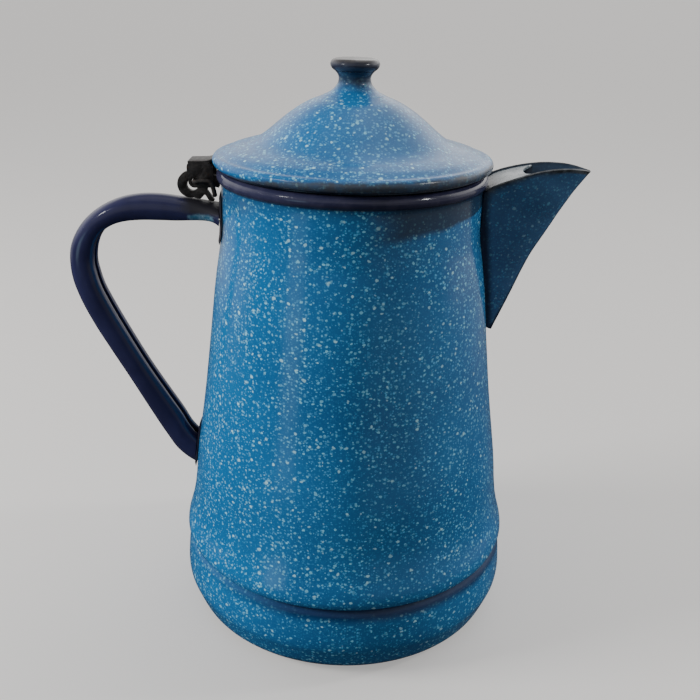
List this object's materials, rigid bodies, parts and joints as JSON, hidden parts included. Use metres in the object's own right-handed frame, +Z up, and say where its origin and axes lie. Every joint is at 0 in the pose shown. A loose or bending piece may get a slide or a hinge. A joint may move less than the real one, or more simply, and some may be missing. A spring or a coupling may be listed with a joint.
{
  "type": "enamel coffee pot",
  "caption": "Blue speckled enamel coffee pot: conical body on a rounded base pan, folded V spout, C strap handle and a domed lid with a knob that swings on a rear hinge.",
  "frame": {"origin": "centre of the flat underside of the base, on the pot's axis", "axes": "+Z up along the pot's axis, +X towards the spout, -X towards the handle and the lid hinge, +Y completes a right-handed frame"},
  "size_m": [0.2273, 0.1546, 0.2546],
  "materials": {
    "body_shell": "glossy blue speckled enamel",
    "base_pan": "glossy blue speckled enamel, dark at the lower edge",
    "spout_shell": "glossy dark blue sparsely speckled enamel with navy edges",
    "spout_bridge": "pale grey-blue enamel",
    "handle": "glossy navy-black enamel",
    "handle_upper_saddle": "glossy navy-black enamel",
    "handle_lower_saddle": "glossy navy-black enamel",
    "hinge_eye": "worn blackened strip iron",
    "hinge_pin": "worn blackened wire with light rust",
    "lid_hinge_clevis": "worn blackened strip iron",
    "lid_shell": "glossy blue speckled enamel, darker at the rolled edge",
    "lid_collar": "dark enamel",
    "knob_neck": "glossy blue speckled enamel fading to dark",
    "knob_cap": "glossy blue-black enamel"
  },
  "bodies": {
    "pot": {"body_shell": "body_shell", "base_pan": "base_pan", "spout_shell": "spout_shell", "spout_bridge": "spout_bridge", "handle": "handle", "handle_upper_saddle": "handle_upper_saddle", "handle_lower_saddle": "handle_lower_saddle", "hinge_eye": "hinge_eye", "hinge_pin": "hinge_pin"},
    "lid": {"lid_shell": "lid_shell", "lid_collar": "lid_collar", "knob_neck": "knob_neck", "knob_cap": "knob_cap", "lid_hinge_clevis": "lid_hinge_clevis"}
  },
  "joints": [
    {"name": "lid_hinge", "type": "hinge", "parent": "pot", "child": "lid", "pos_m": [-0.0672, 0, 0.2033], "axis": [0, -1, 0], "range_deg": [0, 72]}
  ]
}
